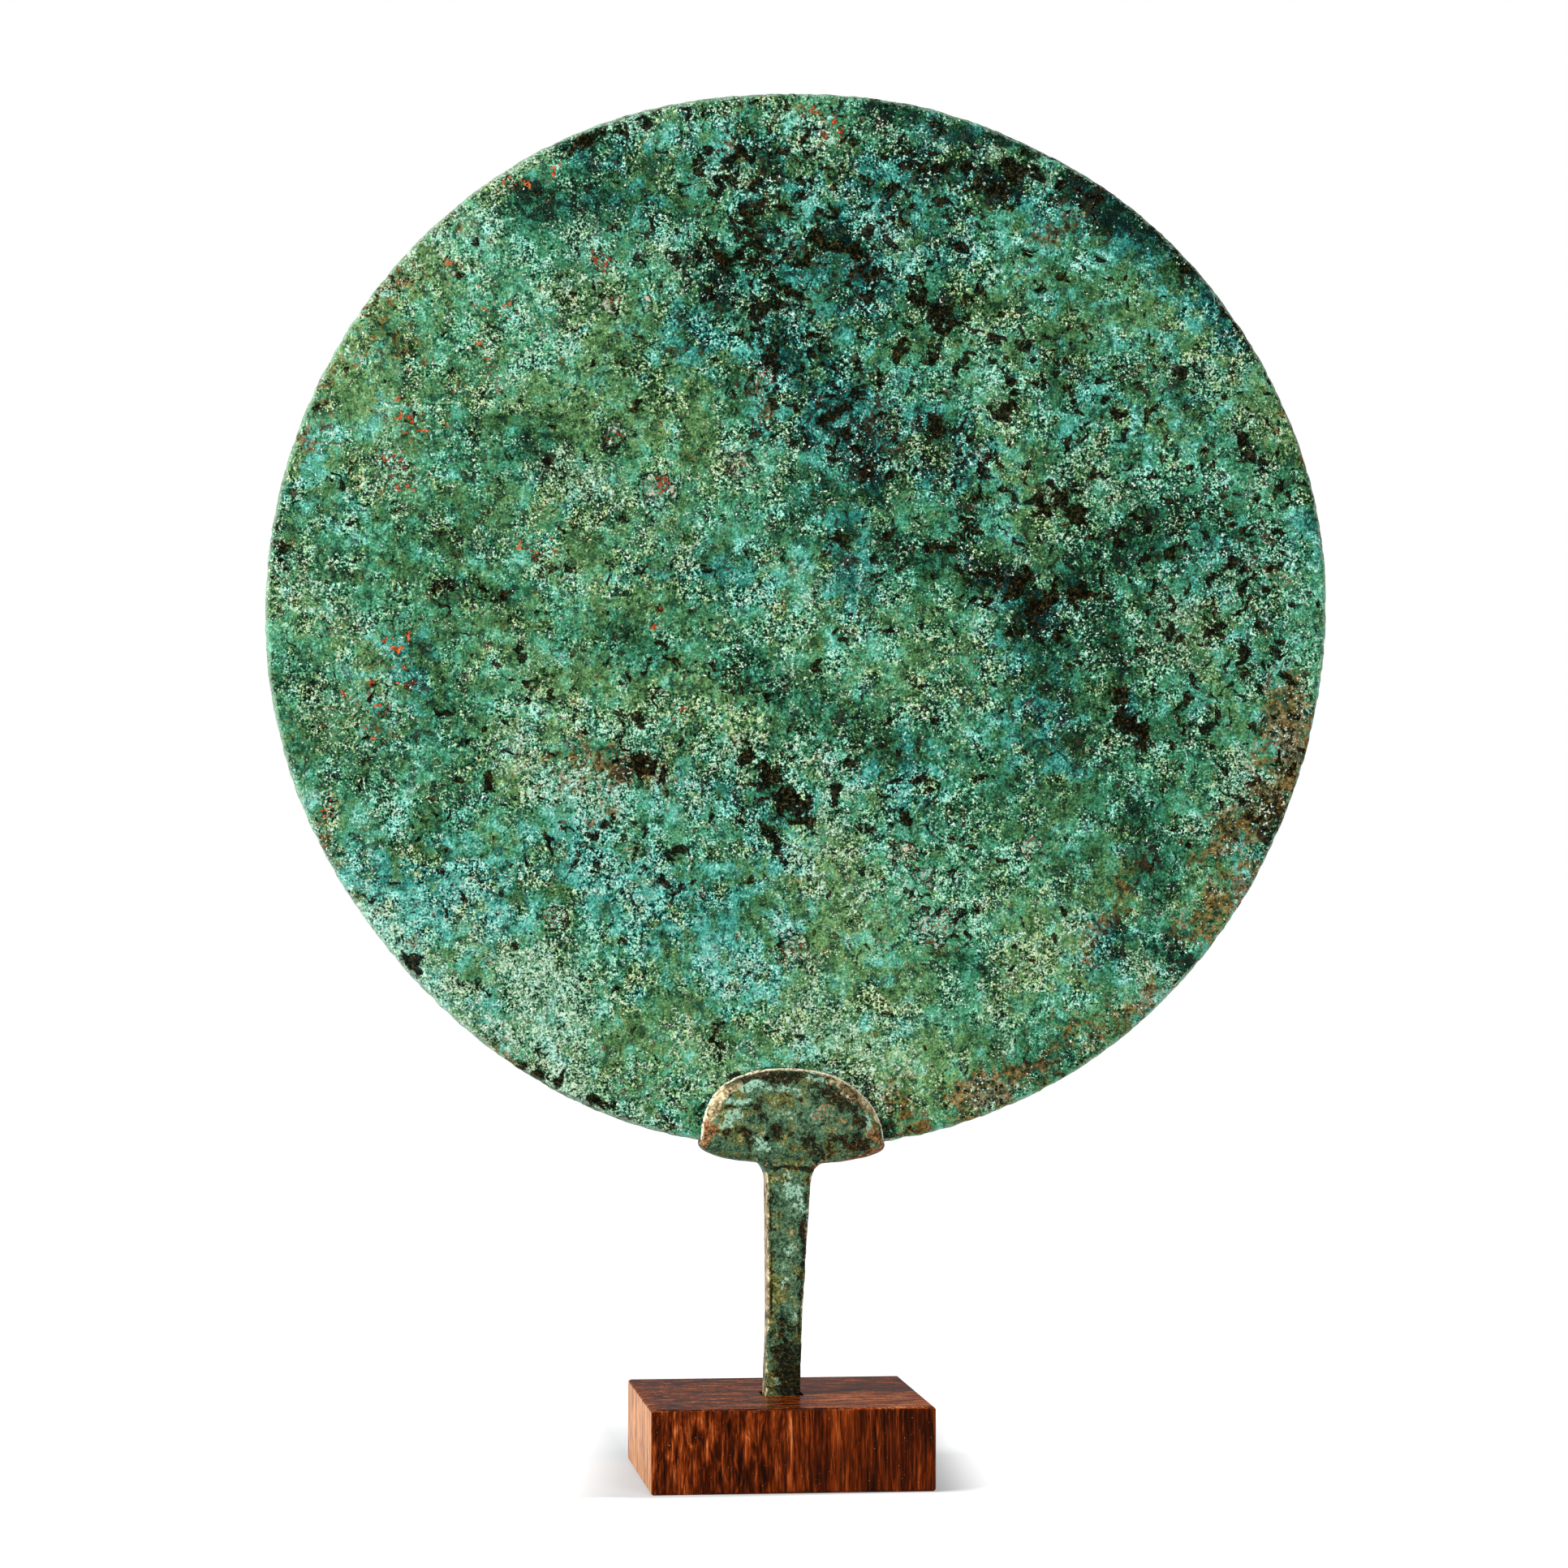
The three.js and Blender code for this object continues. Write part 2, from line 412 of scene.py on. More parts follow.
# Strokes in the strokes' frame: across, up, across, up, reach, and strength in tenths.
TEAL = [
    (-20, 86, -22, 95, 7, 7), (-12, 86, 10, 80, 10, 8), (10, 80, 34, 86, 9, 10), (18, 66, 19, 78, 7, 13),
    (36, 80, 48, 77, 8, 8), (-34, 84, -28, 71, 7, 6), (-24, 57, -14, 49, 6, 11), (0, 68, 10, 55, 10, 8),
    (-1, 52, 1, 36, 8, 11), (10, 46, 16, 32, 9, 9), (10, 18, 10, 5, 7, 10), (69, 68, 82, 55, 7, 11),
    (38, 6, 42, 3, 9, 8), (53, 37, 70, 38, 8, 5), (77, 9, 83, 0, 9, 5), (-80, -50, -60, -53, 9, 14),
    (-84, -60, -76, -64, 6, 11), (-42, -46, -14, -60, 11, 11), (-16, -66, -8, -68, 7, 9),
    (-24, -31, 3, -36, 8, 6), (16, -28, 22, -32, 8, 9), (-91, 30, -88, 22, 8, 4), (-76, -10, -78, -20, 7, 7),
    (-18, 9, -8, 7, 7, 7), (42, -8, 46, -24, 9, 8), (55, -60, 53, -64, 5, 6), (98, 18, 97, 10, 4, 6),
    (26, 62, 86, 52, 13, 3.5), (24, 36, 34, 28, 8, 7), (-4, -46, 0, -52, 7, 11), (-76, 40, -72, 34, 6, 6),
    (-30, -66, -20, -74, 7, 6), (16, 38, 26, 28, 7, 7), (-29, 9, -27, 6, 5, 6), (-40, 22, -36, 22, 5, 9),
    (-22, -28, -18, -30, 5, 6), (-32, 55, -30, 52, 5, 6), (-26, 42, -24, 40, 5, 6), (46, 3, 49, 0, 5, 7),
    (61, -16, 63, -19, 5, 5), (53, -56, 54, -60, 5, 5), (-4, -74, 0, -77, 5, 5), (14, -71, 17, -74, 5, 5),
    (-30, 88, -26, 83, 5, 12), (18, 73, 32, 69, 5, 8), (18, 36, 26, 28, 6, 10), (-41, 60, -30, 50, 5, 10),
    (48, 51, 52, 48, 5, 8), (84, 60, 72, 70, 4, 10), (90, -20, 93, -24, 4, 7), (84, -44, 86, -62, 4, 7),
    (74, -70, 66, -76, 4, 9), (54, -56, 56, -59, 4, 13), (14, -69, 16, -71, 5, 8),
    (-46, -50, -44, -52, 5, 7), (-72, -44, -70, -47, 5, 12), (-82, -60, -78, -66, 4, 10),
    (-40, -37, -36, -40, 4, 6), (-26, 9, -24, 6, 5, 7), (-82, 26, -80, 24, 5, 6), (-15, 31, -13, 29, 4, 7),
    (34, 12, 36, 10, 4, 6), (-30, -92, -24, -94, 4, 7), (-14, -93, -10, -94, 3, 7), (56, 76, 84, 52, 5, 9),
    (-90, -44, -86, -52, 5, 11), (-70, -68, -58, -76, 6, 8), (-50, -72, -44, -84, 5, 5),
]
OLIVE = [
    (-88, 54, -80, 42, 9, 12), (-38, 58, -36, 48, 6, 8), (-48, 38, -22, 38, 9, 9), (-26, 32, -24, 28, 6, 6),
    (-66, 18, -44, 24, 10, 6), (-44, 10, -34, 4, 8, 7), (34, 54, 44, 50, 5, 5), (38, 24, 44, 16, 8, 6),
    (84, 44, 94, 36, 7, 7), (-52, -24, -40, -8, 8, 9), (-38, -10, -28, -13, 8, 7),
    (-16, -15, -14, -18, 6, 11), (6, -10, 20, -10, 7, 5), (4, -48, 14, -72, 10, 8),
    (20, -84, 30, -84, 8, 11), (44, -66, 46, -60, 7, 12), (-32, -80, -12, -80, 7, 8),
    (77, -55, 77, -55, 6, 8), (-96, 44, -97, 28, 5, 10), (60, -72, 66, -68, 6, 6),
    (-56, -26, -54, -28, 6, 12), (-72, 64, -78, 58, 9, 10), (-95, 2, -88, -2, 6, 6),
    (62, -44, 52, -66, 6, 8), (0, -76, 12, -84, 8, 10), (-66, 78, -60, 84, 6, 8), (60, 84, 46, 70, 4, 7),
    (-60, 8, -56, -4, 8, 5), (40, 62, 76, 54, 9, 5), (34, 30, 40, 26, 6, 4), (-90, 32, -86, 28, 4, 7),
    (-80, -6, -78, -14, 5, 7), (38, 38, 40, 28, 5, 8), (50, -22, 52, -36, 5, 9), (77, -4, 80, -16, 5, 9),
    (64, -54, 66, -60, 4, 9), (-52, -22, -52, -28, 5, 6), (-61, -58, -58, -62, 4, 7), (-4, 8, -2, 4, 4, 5),
    (-95, -30, -88, -33, 5, 6), (-68, -20, -62, -26, 5, 6), (-60, -38, -56, -40, 4, 6),
    (-70, -4, -66, -12, 5, 6), (62, 36, 74, 38, 6, 6), (-56, 82, -50, 86, 5, 8),
]
DARK = [
    (52, 81, 63, 78, 4.5, 15), (62, 78, 76, 66, 2.5, 10), (76, 64, 86, 48, 3, 9), (36, 81, 42, 81, 4, 13),
    (21, 87, 31, 84, 6, 8), (15, 95, 44, 89, 4, 10), (-7, 88, -4, 84, 5, 9), (-8, 77, -6, 70, 5, 9),
    (-16, 68, -12, 61, 5, 12), (-10, 66, 4, 66, 5, 8), (8, 74, 13, 64, 5, 12), (12, 82, 20, 78, 6, 6),
    (26, 58, 28, 57, 4, 9), (-5, 54, -2, 50, 5, 9), (6, 50, 9, 46, 4, 9), (7, 40, 17, 35, 7, 10),
    (10, 33, 15, 26, 5, 11), (25, 37, 31, 34, 5, 9), (9, 18, 12, 5, 4, 7), (18, 13, 24, 10, 5, 8),
    (28, 13, 34, 12, 5, 8), (35, 9, 44, 4, 5, 14), (43, 4, 46, -1, 5, 13), (53, 8, 57, 1, 5, 10),
    (58, 12, 70, 18, 8, 9), (50, 21, 54, 20, 4, 7), (60, -9, 62, -11, 4, 10), (62, -19, 64, -22, 4, 12),
    (48, -6, 52, -30, 9, 8), (-7, -27, -4, -29, 4, 4), (-6, -41, -1, -35, 4, 7), (-10, -9, -2, -14, 4.5, 9),
    (4, -17, 22, -24, 6, 7), (-33, -28, -29, -28, 4, 9), (-49, 33, -46, 29, 6, 10), (-35, 35, -34, 32, 3, 8),
    (-52, 77, -37, 77, 6, 11), (-36, 90, -33, 86, 4, 6), (-64, 5, -53, 5, 3, 7), (-99, 14, -97, 12, 3, 7),
    (-66, -14, -62, -30, 6, 5), (73, 43, 77, 41, 4, 8), (92, 28, 96, 26, 5, 5), (77, -8, 90, -10, 5, 3),
    (54, -46, 60, -50, 5, 4), (66, -60, 76, -66, 5, 9), (36, -79, 50, -83, 5, 6), (-14, -78, -11, -80, 3, 6),
    (24, 30, 34, 22, 7, 7), (70, 6, 74, -20, 9, 5), (-20, -24, -16, -28, 5, 4), (64, -36, 68, -48, 6, 9),
    (62, 30, 66, 24, 6, 6), (-76, 52, -74, 46, 4, 4), (28, 74, 30, 66, 6, 6), (46, 66, 52, 60, 8, 4),
    (50, 46, 60, 44, 8, 5), (78, 18, 84, 12, 9, 7), (12, 44, 22, 44, 6, 4), (26, -36, 34, -38, 6, 3),
    (0, 22, 4, 24, 5, 8), (-20, 10, -8, 8, 6, 4), (-34, -4, -28, -6, 5, 7), (-2, -12, 2, -14, 5, 7),
    (70, 46, 84, 32, 8, 4), (-28, 78, -20, 74, 5, 6), (-62, -36, -66, -40, 5, 5), (40, -30, 60, -30, 10, 4),
    (-70, 16, -60, 18, 7, 6), (-72, -4, -70, -12, 6, 6), (-12, 44, -8, 36, 4, 6),
    # These first seven strokes trace the clasp's outline: a dark line at the joint, partly corrosion, partly
    # painted shade.
    (-18, -97, -17, -92, 0.8, 11), (-17, -92, -12.4, -86.4, 0.8, 12), (-12.4, -86.4, -4, -83.6, 0.8, 11),
    (-4, -83.6, 6, -83.8, 0.9, 13), (6, -83.8, 12.4, -88, 0.8, 14), (12.4, -88, 16.4, -93.6, 0.8, 14),
    (16.4, -93.6, 17.6, -98, 0.8, 12), (50, 76, 52, 73, 5, 6), (79, 66, 82, 62, 4, 8),
    (-45, 90, -40, 85, 5, 11), (-19, 58, -17, 54, 4, 6), (56, 4, 62, -12, 5, 8), (-98, -12, -92, -12, 5, 6),
    (-70, -22, -60, -25, 5, 6), (59, -66, 62, -63, 4, 6), (1, 33, 3, 33, 4, 10), (-63, 30, -62, 28, 5, 5),
    (-43, -4, -41, -6, 4, 5), (43, 12, 46, 12, 4, 5), (91, -36, 89, -41, 4, 10), (89, 2, 91, -2, 4, 5),
    (56, 76, 68, 73, 4, 13), (74, 66, 82, 59, 4, 11), (18, 96, 24, 94, 5, 12), (-99, 30, -96, 24, 4, 7),
    (-90, 8, -84, 2, 5, 4), (-76, -2, -73, -5, 4, 5), (-96, -26, -80, -28, 6, 4), (50, 33, 50, 31, 5, 5),
    (-30, 45, -28, 43, 4, 5), (59, -62, 62, -60, 4, 10), (34, -65, 36, -67, 4, 10), (99, 19, 101, 14, 3, 8),
    (-41, 66, -38, 64, 4, 5), (6, 64, 16, 58, 6, 8), (40, 37, 42, 36, 4, 4), (22, 86, 26, 82, 4, 9),
    (-17, -32, -13, -34, 4, 6), (-4, 20, 0, 18, 4, 5), (-14, -50, -10, -52, 4, 4),
]
PALE = [
    (-81, 62, -62, 78, 6, 11), (-58, 70, -55, 69, 6, 7), (-44, 60, -42, 53, 7, 9), (-40, 73, -36, 64, 5, 8),
    (-46, 27, -34, 24, 5, 11), (-14, 30, -6, 27, 6, 8), (-26, 17, -20, 14, 5, 7), (-56, 18, -60, 14, 5, 5),
    (-100, 14, -86, -2, 6, 11), (-56, -22, -53, -27, 5, 12), (-46, -31, -36, -34, 5, 14),
    (-80, -38, -70, -32, 6, 5), (-22, -30, -18, -31, 5, 8), (3, -25, 9, -30, 5, 10),
    (-2, -44, 2, -48, 4, 13), (-13, -28, -9, -24, 4, 11), (-82, -56, -74, -64, 6, 19),
    (-76, -66, -62, -78, 7, 19), (-64, -52, -58, -60, 6, 8), (-52, -66, -42, -74, 7, 16),
    (-50, -76, -42, -92, 6, 19), (-62, -74, -54, -80, 6, 13), (-34, -47, -28, -50, 5, 8),
    (-16, -65, -10, -67, 5, 8), (-34, -88, -28, -91, 4, 9), (0, -10, 8, -13, 5, 7), (22, -17, 28, -19, 6, 6),
    (41, -67, 48, -60, 7, 9), (54, -58, 53, -63, 5, 9), (64, -66, 74, -76, 5, 12), (78, -51, 86, -52, 5, 7),
    (84, -28, 83, -34, 4, 13), (80, 9, 83, 2, 4, 8), (72, 2, 74, -8, 4, 10), (85, 38, 90, 32, 5, 5),
    (54, 28, 62, 23, 5, 9), (36, 42, 40, 38, 4, 8), (34, 68, 40, 64, 4, 4), (17, 74, 20, 70, 4, 9),
    (2, 93, 8, 88, 5, 7), (20, 92, 27, 91, 4, 9), (-2, 2, 14, 8, 6, 7), (2, -76, 14, -86, 8, 12),
    (34, -2, 42, 10, 4, 7), (37, -72, 40, -78, 5, 8), (90, 12, 94, -4, 5, 4), (-24, 70, -21, 66, 4, 12),
    (-14, 84, -12, 82, 4, 9), (-38, 97, -28, 94, 4, 14), (38, 87, 50, 83, 3, 10), (-92, -16, -84, -22, 6, 8),
    (6, -44, 14, -54, 6, 8), (22, -54, 30, -56, 6, 7), (-78, 30, -74, 24, 5, 9), (-30, -20, -22, -22, 6, 5),
    (-20, -78, -10, -84, 5, 9), (-6, 58, -2, 56, 3, 7), (4, 76, 8, 82, 3, 8), (20, 36, 20, 28, 4, 7),
    (72, 46, 80, 44, 4, 8), (-56, 50, -52, 44, 5, 6), (-50, -8, -48, -14, 5, 5), (-18, -86, -12, -88, 4, 11),
    (36, -89, 42, -87, 3, 8), (-57, 81, -47, 88, 4, 12), (-89, 50, -94, 42, 4, 9), (0, -60, 3, -70, 5, 7),
    (4, -36, 8, -39, 4, 9), (-30, -27, -26, -30, 4, 7), (24, 33, 20, 29, 4, 6), (48, 22, 50, 21, 4, 7),
    (35, 9, 37, 8, 3, 7), (69, -4, 71, -7, 4, 7), (84, 8, 84, 6, 4, 7), (87, 32, 88, 28, 4, 7),
    (85, 50, 90, 44, 4, 8), (-46, 11, -40, 8, 4, 5), (18, -74, 22, -86, 5, 8), (10, 86, 10, 82, 3, 6),
    (-94, -36, -84, -54, 4, 9),
]
FLAKED = [
    (-18, 88, -9, 80, 6, 9), (-10, 86, -8, 66, 5, 12), (-16, 68, -2, 58, 6, 12), (-4, 90, -3, 84, 4, 12),
    (5, 73, 14, 63, 6, 13), (18, 88, 30, 83, 6, 9), (12, 80, 32, 77, 6, 9), (35, 80, 45, 84, 4, 13),
    (-36, 82, -30, 78, 5, 5), (-44, 87, -23, 97, 2.5, 12), (-6, 55, -2, 40, 4, 10),
    (25, 60, 29, 54, 3.5, 16), (22, 48, 30, 47, 3, 13), (32, 55, 38, 51, 3, 12), (41, 46, 40, 38, 2.5, 13),
    (53, 46, 53, 43, 2, 12), (6, 40, 13, 30, 5, 11), (28, 38, 37, 27, 1.6, 13), (43, 22, 55, 19, 4, 11),
    (18, 12, 34, 15, 4, 10), (34, 6, 57, 6, 4.5, 12), (44, 3, 45, 0, 3.5, 14), (9, 17, 7, 12, 1.5, 10),
    (8, -2, 28, -2, 1.4, 10), (61, -17, 64, -22, 3.5, 15), (60, -10, 62, -11, 3, 11), (73, 46, 77, 42, 4, 9),
    (83, 34, 92, 25, 4, 10), (62, 79, 76, 68, 1.7, 13), (77, 66, 86, 52, 1.7, 13), (-7, -26, -5, -29, 3, 16),
    (-4, -33, 1, -37, 3, 18), (-9, -37, -5, -41, 2, 15), (-5, -42, -5, -46, 1.5, 14),
    (8, -30, 8, -35, 1.2, 15), (-34, -26, -29, -29, 3, 12), (-24, -25, -25, -30, 1, 13),
    (24, -30, 25, -32, 1.5, 12), (-68, 6, -54, 5, 1.2, 13), (-45, -42, -24, -47, 6, 7),
    (-64, -51, -62, -54, 1.3, 12), (-14, -77, -14, -83, 1.8, 12), (-23, -91, -23, -97, 1.5, 13),
    (-75, -66, -71, -67, 2.5, 14), (-52, -85, -28, -97, 2.2, 11), (-99, 17, -97, 10, 2.5, 12),
    (85, 5, 80, -2, 7, 7), (60, 40, 88, -20, 20, 6), (-10, 84, 40, 52, 20, 6), (10, -30, 30, -50, 12, 4),
    (-60, -30, -20, -10, 14, 3.5), (30, 30, 60, 20, 16, 5), (-6, 52, 14, 40, 8, 9), (52, 82, 60, 80, 5, 11),
]
OCHRE = [
    (-76, 58, -84, 49, 4, 5), (-88, 46, -92, 40, 4, 5), (93, -13, 89, -26, 5, 9), (92, -34, 80, -41, 6, 12),
    (84, -50, 77, -58, 5, 12), (67, -69, 62, -76, 4, 8), (55, -78, 41, -87, 4, 8),
    (18, -89, 21, -95, 4.5, 10), (-40, -27, -28, -29, 5, 9), (-10, 96, 12, 94, 4, 3),
    (-90, -42, -88, -47, 3, 9), (52, 22, 46, 26, 5, 3), (92, 36, 96, 30, 4, 6), (-60, -80, -52, -86, 3, 9),
    (33, -92, 41, -86, 4.5, 14), (93, -17, 95, -30, 5, 15), (-97, 28, -90, 36, 5, 5), (60, 84, 46, 70, 3, 7),
    (66, -46, 56, -62, 4, 7), (-76, 62, -80, 56, 4, 7), (-66, 82, -60, 86, 3, 7), (-12, 90, -6, 80, 4, 5),
    (-8, 44, -6, 38, 3, 7), (14, 40, 18, 34, 4, 7), (0, 68, 8, 62, 4, 5), (84, 20, 90, 10, 6, 4),
    (-76, 50, -74, 48, 4, 6), (-45, -25, -38, -38, 5, 6), (-65, 76, -63, 74, 4, 6),
]
PITTED = [
    (-76, -4, -79, -24, 4, 10), (-86, -15, -86, -15, 4, 7), (-75, 40, -69, 34, 3.5, 8),
    (-77, 30, -74, 26, 3, 10), (-63, 42, -63, 42, 2, 11), (-46, 11, -52, 14, 4, 8), (-24, 25, -24, 25, 3, 8),
    (-27, 0, -27, 0, 3, 7), (-21, -18, -21, -18, 2.5, 9), (-89, -32, -88, -37, 2.5, 9),
    (11, 92, 4, 94, 4, 8), (-45, 82, -45, 82, 2, 10), (-37, 67, -36, 66, 3, 9), (-66, 66, -54, 56, 4, 5),
    (-56, 84, -48, 78, 3, 6), (-60, 52, -56, 44, 3, 6),
]
# Blisters: across, up and radius.
BLISTERS = [
    (-33.6, 34.7, 2.3), (-26.2, 23.7, 3), (-10.6, 28.6, 2.6), (-35.1, 59.2, 1.8), (-37, 67, 1.7),
    (-28, 59, 1.3), (-6, 45.4, 2.1), (26, -58, 3.2), (20, -44, 2.2), (24.6, -48.7, 1.8),
    (-45.8, -56.4, 2.1), (0, -62.5, 2.6), (44.5, -42.6, 1.8), (35, 31, 1.6),
]

# The front grid's cells along a side, and the rim's rows of points.
DISC_CELLS = 272
RIM_ROWS = 5
DISC_HALF = 1.5
RIM_INSET = 1.3
RIM_PLANE = 0.01
DEEPEST_CHIP = 0.8
# The front's patina gives way to the back's within this far of the disc's middle plane.
FRONT_FADES = 1.2
# The camera's distance from the disc, how much farther off a step to the right and a step back are, and the
# place that the strokes' frame is scaled about, on the disc and in that frame.
VIEW_DISTANCE = 975
FARTHER_RIGHT, FARTHER_BACK = 0.112, 0.994
FIXED_ON_DISC = np.array((-3.5, -31))
FIXED_ON_STROKES = np.array((-2.1, -31.6))


def as_seen(places):
    """Places around the disc's middle, in the strokes' frame: the mirror as the camera sees it.

    The left side and whatever stands off the front are nearer to the camera, so they look larger.
    """
    across, depth, _ = places.T
    distance = VIEW_DISTANCE + FARTHER_RIGHT * across + FARTHER_BACK * (depth + DISC_HALF)
    nearness = VIEW_DISTANCE / distance
    return (places[:, [0, 2]] - FIXED_ON_DISC) * nearness[:, None] + FIXED_ON_STROKES


def disc_shape():
    """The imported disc's middle in metres, and its radius in millimetres as a function of the angle."""
    places = vectors(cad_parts["mirror_disc"].data.vertices, "co")
    low, high = places.min(0), places.max(0)
    middle = (low + high) / 2
    across, depth, up = ((places - middle) / MM).T
    rim = np.abs(depth) < RIM_PLANE
    turns, radii = np.arctan2(up, across)[rim], np.hypot(across, up)[rim]
    return middle, lambda angle: np.interp(angle, turns, radii, period=2 * math.pi)


def round_grid(cells):
    """A square grid carried onto the unit disc, row by row from the bottom left, and its quads."""
    side = np.linspace(-1, 1, cells + 1)
    across, up = (grid.ravel() for grid in np.meshgrid(side, side))
    wide = np.abs(across) > np.abs(up)
    reach = np.where(wide, across, up)
    share = np.divide(np.where(wide, up, across), reach, out=np.zeros(len(reach)), where=reach != 0)
    turn = np.where(wide, share, 2 - share) * math.pi / 4
    row = cells + 1
    first = (np.arange(cells)[:, None] * row + np.arange(cells)).ravel()
    quads = np.stack([first, first + 1, first + row + 1, first + row], 1)
    return np.column_stack([reach * np.cos(turn), reach * np.sin(turn)]), quads


def round_edge(cells):
    """The indices round such a grid, anticlockwise from the bottom left."""
    row, step = cells + 1, np.arange(cells)
    return np.concatenate([step, cells + step * row, row * row - 1 - step, (cells - step) * row])


def disc_skin():
    """The disc's middle in metres, and its skin around that, in millimetres.

    The skin is places, outward directions, a mask of the rim, distances in from the rim, and faces. The
    front grid meets the rim's rows point for point, and the coarser back grid every second point.
    """
    middle, radius = disc_shape()
    back_cells = DISC_CELLS // 2
    parts, outward = [], []
    for cells, side in ((DISC_CELLS, -1), (back_cells, 1)):
        unit, quads = round_grid(cells)
        reach = radius(np.arctan2(unit[:, 1], unit[:, 0])) - RIM_INSET
        depth = np.full(len(unit), side * DISC_HALF)
        parts.append(np.column_stack([unit[:, 0] * reach, depth, unit[:, 1] * reach]))
        outward.append(np.tile((0, side, 0), (len(unit), 1)))
        if side < 0:
            front_edge, front_count, front_quads = round_edge(cells), len(unit), quads
            turns = np.arctan2(unit[front_edge, 1], unit[front_edge, 0])
        else:
            back_edge, back_quads = round_edge(cells) + front_count, quads[:, ::-1] + front_count
    start = front_count + len(unit)
    for step in range(1, RIM_ROWS + 1):
        lean = math.pi * step / (RIM_ROWS + 1) - math.pi / 2
        reach = radius(turns) - RIM_INSET * (1 - math.cos(lean))
        depth = np.full(len(turns), DISC_HALF * math.sin(lean))
        parts.append(np.column_stack([reach * np.cos(turns), depth, reach * np.sin(turns)]))
        outward.append(np.column_stack([np.cos(turns), np.zeros(len(turns)), np.sin(turns)]))
    rings = [front_edge] + [start + np.arange(len(turns)) + row * len(turns) for row in range(RIM_ROWS)]
    faces = [front_quads, back_quads]
    for near, far in zip(rings, rings[1:]):
        faces.append(np.stack([near, far, np.roll(far, -1), np.roll(near, -1)], 1))
    even, odd = rings[-1][0::2], rings[-1][1::2]
    back_next, even_next = np.roll(back_edge, -1), np.roll(even, -1)
    for corners in ((even, back_edge, odd), (odd, back_edge, back_next), (odd, back_next, even_next)):
        faces.append(np.stack(corners, 1))
    places = np.concatenate(parts)
    on_rim = np.arange(len(places)) >= start
    edge = radius(np.arctan2(places[:, 2], places[:, 0])) - np.hypot(places[:, 0], places[:, 2])
    return middle, places, np.concatenate(outward), on_rim, edge, faces


def disc_patina(places):
    """The patina's fields over the disc. The hidden side has patches of its own."""
    shown = smooth(-places[:, 1], -FRONT_FADES, FRONT_FADES)
    points = places * (1, 5, 1)
    bend = 1.3 * np.column_stack([Noise(seed).layers(points, 9) for seed in (1, 2)])
    seen = as_seen(places)

    def zone(strokes, seed):
        patches = 0.9 * smooth(Noise(seed).layers(points, 26, 2), 0.2, 1.8)
        return shown * brushed(seen + bend, strokes) + (1 - shown) * patches

    bent = points + np.column_stack([bend[:, 0], np.zeros(len(points)), bend[:, 1]])
    dark, pale, flaked = zone(DARK, 11), zone(PALE, 12), zone(FLAKED, 13)
    flake = 0.5 * Noise(21).layers(bent, 4, 2, 0.8) + 1.5 * flaked - 1.75
    crust = 0.4 * Noise(22).layers(bent, 3.2, 2, 0.7) + 1.6 * pale - 1.6
    blister = np.full(len(places), GONE)
    for across, up, radius in BLISTERS:
        away = np.hypot(*(seen - (across, up)).T) / radius
        blister = np.minimum(blister, away + GONE * (1 - shown))
    return {
        "teal": zone(TEAL, 14),
        "olive": zone(OLIVE, 15),
        "ochre": zone(OCHRE, 16),
        "flake": flake,
        "crust": crust,
        "shade": dark - 0.3 * pale,
        "pitted": zone(PITTED, 17),
        "blister": blister,
    }


def disc_relief(places, fields):
    """How far the patina stands off the plate, in millimetres."""
    points = places * (1, 5, 1)
    plate = 0.1 * Noise(31).layers(points, 34, 2)
    grain = 0.02 * Noise(32).layers(points, 2.2, 2, 0.8)
    flakes = -0.16 * smooth(fields["flake"], -0.2, 0.3)
    crust = 0.1 * smooth(fields["crust"], -0.2, 0.8)
    ring = 0.22 * bell(fields["blister"], 1, 0.3)
    hollow = -0.2 * smooth(-fields["blister"], -0.8, -0.2)
    pits = 0.1 * fields["pitted"] * Noise(33).layers(points, 1.5, 1)
    return plate + grain + flakes + crust + ring + hollow + pits


def ground(look, tone, *colours):
    """Five colours by tone, from deep shadow to highlight."""
    stops = zip((0.08, 0.25, 0.42, 0.6, 0.85), colours)
    return look.ramp(tone, *((place, *colour) for place, colour in stops))


def patina_ground(look, tone, bluish, leafy):
    """Green, in parts blue-green or sage."""
    green = ground(look, tone, (8, 28, 20), (28, 74, 52), (50, 116, 82), (88, 166, 126), (192, 238, 202))
    blue = ground(look, tone, (2, 24, 28), (12, 70, 70), (42, 122, 112), (84, 174, 156), (172, 238, 220))
    sage = ground(look, tone, (12, 28, 12), (38, 72, 40), (76, 118, 70), (122, 166, 106), (222, 232, 180))
    return look.mix(leafy, look.mix(bluish, green, blue), sage)


def pale_crust(look, chalk, bluish):
    mint_chalk = look.ramp(chalk, (0.2, 44, 112, 94), (0.48, 110, 178, 154), (0.8, 214, 246, 232))
    sage_chalk = look.ramp(chalk, (0.2, 50, 100, 68), (0.48, 114, 164, 124), (0.8, 218, 240, 214))
    return look.mix(bluish, sage_chalk, mint_chalk)


def bare_bronze(look, ragged, cloud, fine, grain):
    """The dark brown metal of flaked spots, rustier in places along their edges."""
    tone = look.blend(0.4, (grain, 0.14), (fine, 0.12))
    bare = look.ramp(tone, (0.2, 3, 3, 0), (0.45, 14, 12, 2), (0.65, 38, 32, 10), (0.95, 92, 74, 36))
    rusty = look.times(look.band(ragged, 0.06, 0.12), look.step(cloud, 0, 1.6))
    return look.mix(rusty, bare, paint(70, 46, 16))


